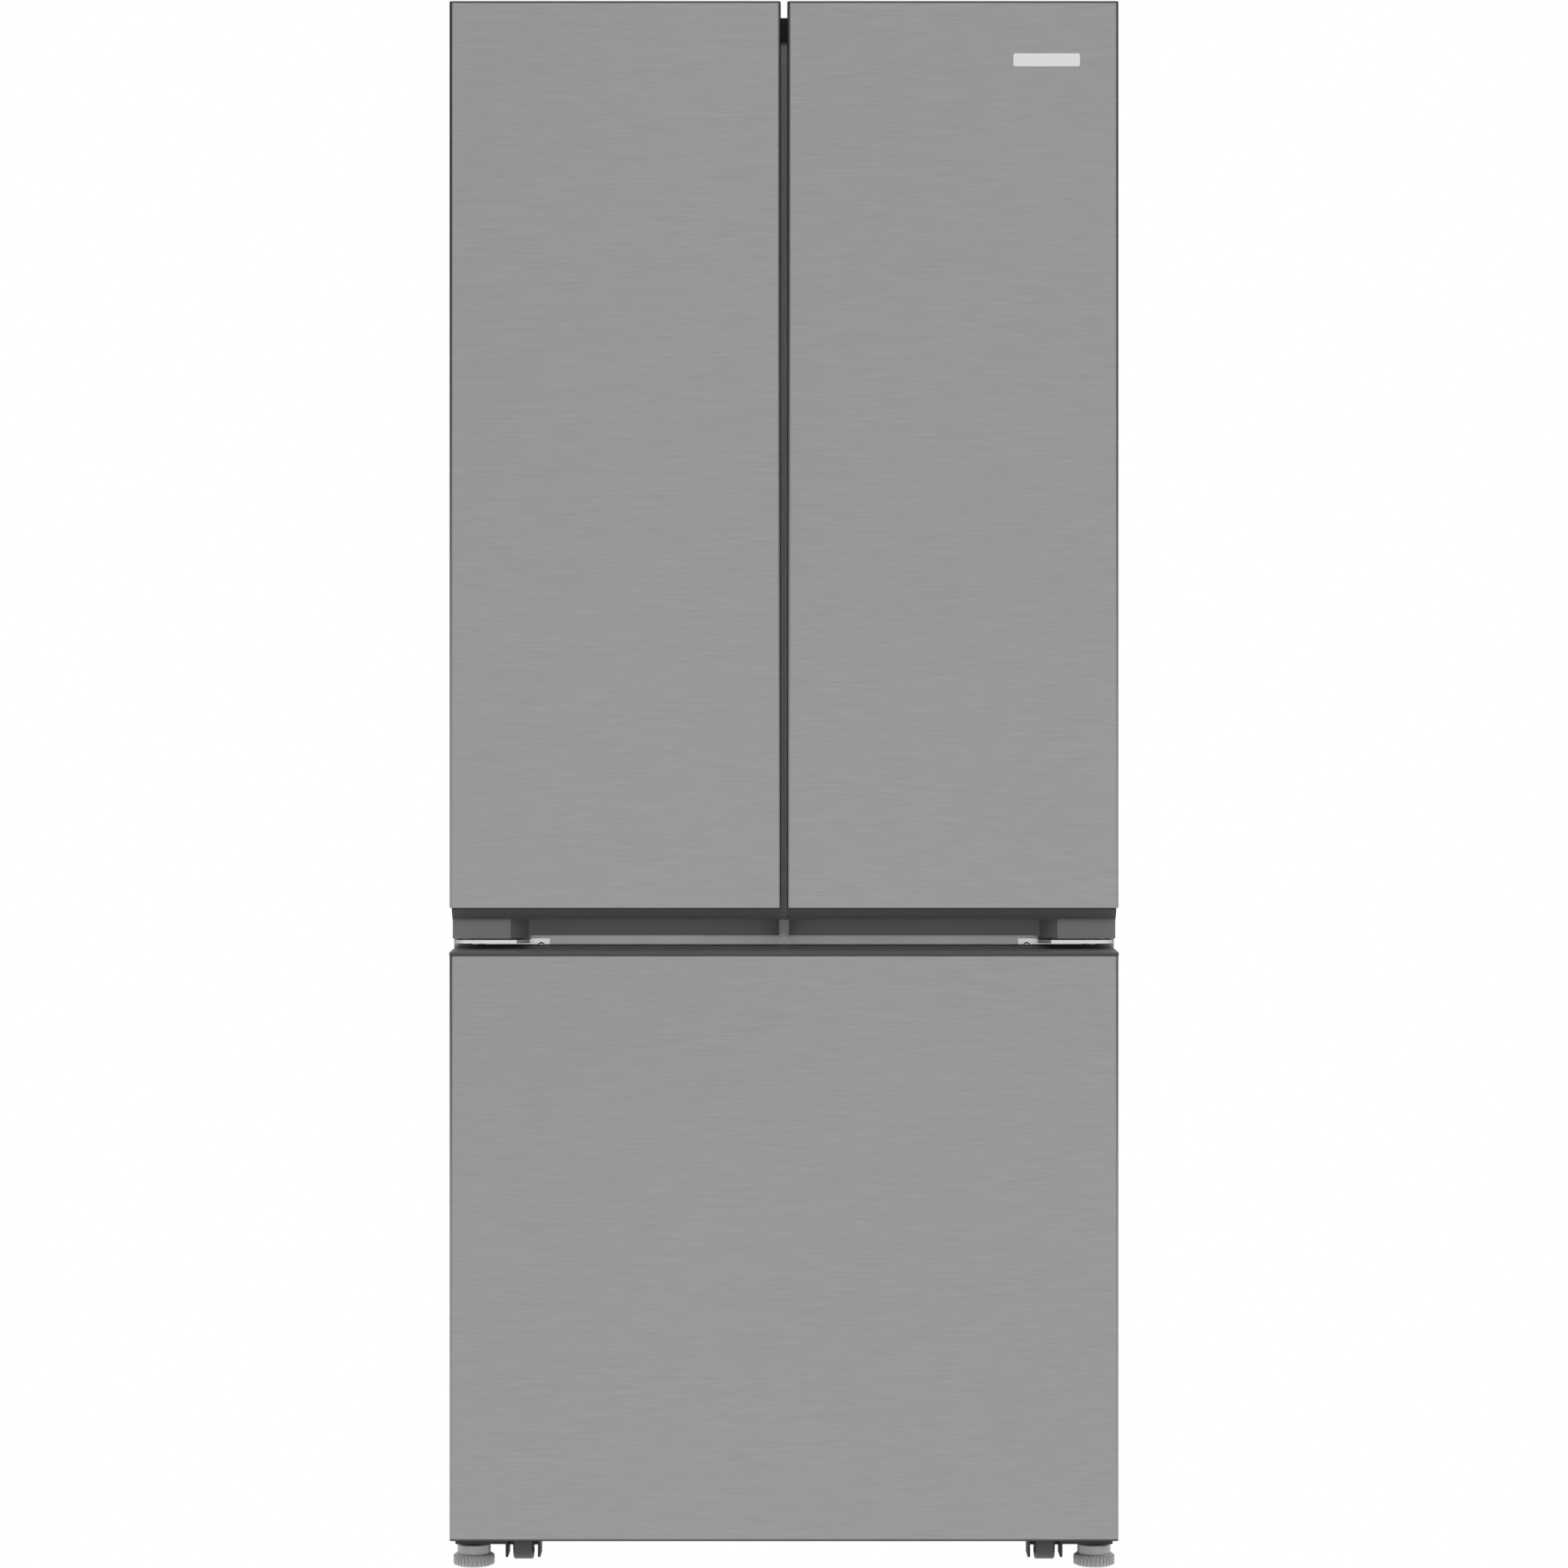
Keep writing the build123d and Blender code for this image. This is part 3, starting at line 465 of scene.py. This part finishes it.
# pieces out of sight, or already as fine as they need to be
plainNodes = {
    "back_panel": "galvanisedSheet", "foam_insulation": "rigidFoam", "left_door_foam": "rigidFoam",
    "right_door_foam": "rigidFoam", "drawer_foam": "rigidFoam", "evaporator": "finAluminium",
    "evaporator_fan": "mouldedAbsBlack", "condenser_fan": "mouldedAbsBlack", "fan_motors": "galvanisedSheet",
    "condenser": "blackEnamel",
}
for node, look in plainNodes.items():
    paint(nodes[node], finish[look])


# magnetic gaskets: the foot, two pleats and the magnet's pocket of one side of the bellows
gasketSet = {"band": 14.0 * mm, "foot": 2.0 * mm, "neck": (2.2 * mm, 3.0 * mm), "pleat": (0.6 * mm, 4.2 * mm),
             "fold": (1.4 * mm, 5.2 * mm), "pocket": (0.8 * mm, 0.4 * mm), "face": 1.6 * mm}


def gasketRing(node):
    # a bellows section carried round four mitred corners
    low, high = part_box(node)
    s, deep = gasketSet, high.y - low.y
    side = [(0, 0), (0, s["foot"]), s["neck"], s["pleat"], s["fold"], (s["pocket"][0], deep - s["pocket"][1]),
            (s["face"], deep)]
    profile = side + [(s["band"] - inset, depth) for inset, depth in reversed(side)]
    vertices, faces = [], []
    for inset, depth in profile:
        x0, x1, z0, z1 = low.x + inset, high.x - inset, low.z + inset, high.z - inset
        y = low.y + depth
        vertices += [(x0, y, z0), (x1, y, z0), (x1, y, z1), (x0, y, z1)]
    count = len(profile)
    for i in range(count):
        for c in range(4):
            a, b = i * 4 + c, i * 4 + (c + 1) % 4
            j = (i + 1) % count
            faces.append((a, b, j * 4 + (c + 1) % 4, j * 4 + c))
    piece = meshObject(node + "_bellows", vertices, faces)
    work = bmesh.new()
    work.from_mesh(piece.data)
    bmesh.ops.recalc_face_normals(work, faces=work.faces)
    work.to_mesh(piece.data)
    work.free()
    smoothByAngle(piece, 25)
    return fit(piece, node, finish["gasketVinyl"])


for node in ("left_door_gasket", "right_door_gasket", "drawer_gasket"):
    gasketRing(node)
print("gaskets extruded")


# things that repeat are placed with Geometry Nodes

def placedOnPoints(name, points, part, material, turns=None):
    # copies of one small part on a set of points, each turned about Z by its own angle
    holder = meshObject(name, points, [])
    angle = holder.data.attributes.new("turn", "FLOAT", "POINT")
    for i, value in enumerate(turns or [0.0] * len(points)):
        angle.data[i].value = value
    group = bpy.data.node_groups.new(name + "Placing", "GeometryNodeTree")
    group.interface.new_socket("Points", in_out="INPUT", socket_type="NodeSocketGeometry")
    sizeInput = group.interface.new_socket("Part size", in_out="INPUT", socket_type="NodeSocketFloat")
    partInput = group.interface.new_socket("Part", in_out="INPUT", socket_type="NodeSocketObject")
    group.interface.new_socket("Result", in_out="OUTPUT", socket_type="NodeSocketGeometry")
    start = addNode(group, "NodeGroupInput")
    end = addNode(group, "NodeGroupOutput")
    source = addNode(group, "GeometryNodeObjectInfo", {}, {"Object": start.outputs["Part"]})
    turn = addNode(group, "GeometryNodeInputNamedAttribute", {"data_type": "FLOAT", "Name": "turn"})
    spin = addNode(group, "ShaderNodeCombineXYZ", {}, {"Z": turn.outputs["Attribute"]})
    placed = addNode(group, "GeometryNodeInstanceOnPoints", {}, {"Points": start.outputs["Points"],
                     "Instance": source.outputs["Geometry"], "Rotation": spin.outputs[0],
                     "Scale": start.outputs["Part size"]})
    real = addNode(group, "GeometryNodeRealizeInstances", {}, {"Geometry": placed.outputs[0]})
    dressed = addNode(group, "GeometryNodeSetMaterial", {"Material": material}, {"Geometry": real.outputs[0]})
    group.links.new(dressed.outputs[0], end.inputs[0])
    placing = holder.modifiers.new("placing", "NODES")
    placing.node_group = group
    placing[sizeInput.identifier] = 1.0
    placing[partInput.identifier] = part
    settle(holder)
    bpy.data.objects.remove(part)
    smoothByAngle(holder, 35)
    return holder


def lathe(name, outline, steps=48, axis="Z"):
    # an outline of (radius, height) points turned about an axis
    vertices, faces = [], []
    for i in range(steps):
        turn = 2 * math.pi * i / steps
        for radius, height in outline:
            a, b = radius * math.cos(turn), radius * math.sin(turn)
            vertices.append((a, b, height) if axis == "Z" else (height, a, b))
    count = len(outline)
    for i in range(steps):
        for j in range(count):
            a, b = i * count + j, i * count + (j + 1) % count
            c, d = ((i + 1) % steps) * count + (j + 1) % count, ((i + 1) % steps) * count + j
            faces.append((a, d, c, b))
    piece = meshObject(name, vertices, faces)
    work = bmesh.new()
    work.from_mesh(piece.data)
    bmesh.ops.remove_doubles(work, verts=work.verts, dist=1e-6)
    bmesh.ops.recalc_face_normals(work, faces=work.faces)
    work.to_mesh(piece.data)
    work.free()
    smoothByAngle(piece, 35)
    return piece


def joined(name, parts):
    mesh = bpy.data.meshes.new(name)
    work = bmesh.new()
    for part in parts:
        work.from_mesh(part.data)
    work.to_mesh(mesh)
    work.free()
    for part in parts:
        bpy.data.objects.remove(part)
    piece = bpy.data.objects.new(name, mesh)
    bpy.context.scene.collection.objects.link(piece)
    smoothByAngle(piece, 35)
    return piece


footSet = {"ribs": 30, "ribRadius": 1.7 * mm, "ribStand": 1.6 * mm, "ribEnd": 1.5 * mm, "ribBase": 1.1 * mm,
           "ribNose": 1.0 * mm, "toe": 3 * mm, "toeHigh": 2 * mm, "ringHigh": 14 * mm, "edge": 1.2 * mm,
           "collarDrop": 4.5 * mm, "collarHigh": 11 * mm, "studRadius": 5 * mm}


def levellingFoot(node):
    low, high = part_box(node)
    centreX, centreY = (low.x + high.x) / 2, (low.y + high.y) / 2
    outer = (high.x - low.x) / 2
    s = footSet
    body = outer - s["ribStand"]
    outline = [(0, 0), (body - s["toe"], 0), (body, s["toeHigh"]), (body, s["ringHigh"] - s["edge"]),
               (body - s["edge"], s["ringHigh"]), (outer - s["collarDrop"], s["ringHigh"]),
               (outer - s["collarDrop"], s["ringHigh"] + s["collarHigh"] - s["edge"]),
               (outer - s["collarDrop"] - s["edge"], s["ringHigh"] + s["collarHigh"]),
               (s["studRadius"], s["ringHigh"] + s["collarHigh"]), (s["studRadius"], high.z), (0, high.z)]
    turned = lathe(node + "Turned", outline)
    ribTop = s["ringHigh"] - s["ribEnd"]
    ribSteps = 10
    rib = lathe(node + "Rib", [(0, s["ribEnd"]), (s["ribRadius"] * 0.7, s["ribEnd"]),
                               (s["ribRadius"], s["ribEnd"] + s["ribBase"]), (s["ribRadius"], ribTop - s["ribNose"]),
                               (s["ribRadius"] * 0.6, ribTop), (0, ribTop)], ribSteps)
    ring = []
    for i in range(s["ribs"]):
        turn = 2 * math.pi * i / s["ribs"]
        reach = outer - s["ribRadius"]
        ring.append((reach * math.cos(turn), reach * math.sin(turn), 0.0))
    ribs = placedOnPoints(node + "Ribs", ring, rib, finish["greyNylon"])
    foot = joined(node + "_turned", [turned, ribs])
    for vertex in foot.data.vertices:
        vertex.co.x += centreX
        vertex.co.y += centreY
    return fit(foot, node, finish["greyNylon"])


levellingFoot("foot_left")
levellingFoot("foot_right")

rollerSet = {"wide": 23 * mm, "hub": 7 * mm, "hubDraft": 1 * mm, "web": 4 * mm, "rim": 4 * mm, "rimDraft": 1 * mm,
             "tread": 1.5 * mm, "bore": 4.06 * mm}


def rollerPair(node):
    low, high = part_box(node)
    radius = (high.z - low.z) / 2
    s = rollerSet
    half = s["wide"] / 2
    side = [(s["bore"], half), (s["hub"], half), (s["hub"] + s["hubDraft"], half - s["web"]),
            (radius - s["rim"] - s["rimDraft"], half - s["web"]), (radius - s["rim"], half),
            (radius - s["tread"], half), (radius, half - s["tread"])]
    outline = [(r, -x) for r, x in side] + list(reversed(side))
    wheels = []
    for x in (low.x + half, high.x - half):
        wheel = lathe(node + "Wheel", outline, axis="X")
        wheel.data.transform(Matrix.Translation((x, (low.y + high.y) / 2, (low.z + high.z) / 2)))
        wheels.append(wheel)
    return fit(joined(node + "_turned", wheels), node, finish["darkAcetal"])


rollerPair("front_rollers")
rollerPair("rear_rollers")
print("feet and rollers turned")


# the plain plaque on the right door
plaqueSet = {"rim": 1.6 * mm, "edge": 0.35 * mm, "sunk": 0.45 * mm}


def plaque():
    piece = finishedCopy("name_plaque", plaqueSet["edge"], finish["chromePlate"], 3)
    work = bmesh.new()
    work.from_mesh(piece.data)
    face = min(work.faces, key=lambda f: f.calc_center_median().y - f.calc_area())
    bmesh.ops.inset_region(work, faces=[face], thickness=plaqueSet["rim"], depth=0)
    for vertex in face.verts:
        vertex.co.y += plaqueSet["sunk"]
    work.to_mesh(piece.data)
    work.free()


plaque()

print("plaque made")


# cross recess screws of the hinges
screwSet = {"shank": 2.5 * mm, "head": 4.0 * mm, "headHigh": 2.2 * mm, "dome": 0.9 * mm, "slot": 0.9 * mm,
            "reach": 2.3 * mm, "deep": 1.2 * mm, "turnStep": 0.7}


def looseParts(node):
    # the bounds of each separate solid in a node
    work = bmesh.new()
    work.from_mesh(nodes[node].data)
    bmesh.ops.remove_doubles(work, verts=work.verts, dist=1e-5)
    waiting = set(work.verts)
    found = []
    while waiting:
        stack = [waiting.pop()]
        members = list(stack)
        while stack:
            for edge in stack.pop().link_edges:
                for vertex in edge.verts:
                    if vertex in waiting:
                        waiting.remove(vertex)
                        stack.append(vertex)
                        members.append(vertex)
        spots = [nodes[node].matrix_world @ vertex.co for vertex in members]
        low = Vector([min(spot[i] for spot in spots) for i in range(3)])
        high = Vector([max(spot[i] for spot in spots) for i in range(3)])
        found.append((low, high))
    work.free()
    return found


def crossScrew(name, length):
    # stands on the origin with its head up
    s = screwSet
    under = length - s["headHigh"]
    outline = [(0, 0), (s["shank"], 0), (s["shank"], under), (s["head"], under),
               (s["head"], length - s["dome"]), (s["head"] * 0.8, length - s["dome"] * 0.3),
               (s["head"] * 0.45, length), (0, length)]
    piece = lathe(name, outline, 28)
    for turned in (0, 1):
        x, y = (s["reach"], s["slot"] / 2) if turned == 0 else (s["slot"] / 2, s["reach"])
        corners = [(i, j, k) for k in (length - s["deep"], length + 1 * mm) for j in (-y, y) for i in (-x, x)]
        cutter = meshObject("slotCutter", corners, boxFaces)
        cut = piece.modifiers.new("slot", "BOOLEAN")
        cut.operation = "DIFFERENCE"
        cut.solver = "EXACT"
        cut.object = cutter
        settle(piece)
        bpy.data.objects.remove(cutter)
    return piece


def hingeScrews():
    upright, facing = [], []
    for low, high in looseParts("hinge_screws"):
        middle = (low + high) / 2
        if high.y - low.y < high.z - low.z:
            facing.append((middle.x, high.y, middle.z, high.y - low.y))
        else:
            upright.append((middle.x, middle.y, low.z, high.z - low.z))
    groups = []
    for name, spots, turned in (("uprightScrews", upright, False), ("facingScrews", facing, True)):
        screw = crossScrew(name + "Part", spots[0][3])
        if turned:
            screw.data.transform(Matrix.Rotation(math.radians(90), 4, "X"))
        turns = [0.0 if turned else screwSet["turnStep"] * i for i in range(len(spots))]
        groups.append(placedOnPoints(name, [spot[:3] for spot in spots], screw, finish["zincPlatedSteel"], turns))
    return fit(joined("hinge_screws_cut", groups), "hinge_screws", finish["zincPlatedSteel"])


hingeScrews()
print("screws cut")


# a pale bead along the mullion's face
beadSet = {"x": 2.7 * mm, "half": 0.7 * mm, "proud": 0.8 * mm, "sunk": 0.5 * mm, "short": 6 * mm, "edge": 0.3 * mm}


def mullionBead():
    low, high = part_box("mullion_bar")
    s = beadSet
    corners = [(x, y, z) for z in (low.z + s["short"], high.z - s["short"])
               for y in (low.y - s["proud"], low.y + s["sunk"]) for x in (s["x"] - s["half"], s["x"] + s["half"])]
    piece = meshObject("mullionBead", corners, boxFaces)
    roundEdges(piece, s["edge"])
    return fit(piece, "mullion_bar", finish["formedWhite"], stands=False)


mullionBead()
print("mullion bead laid")
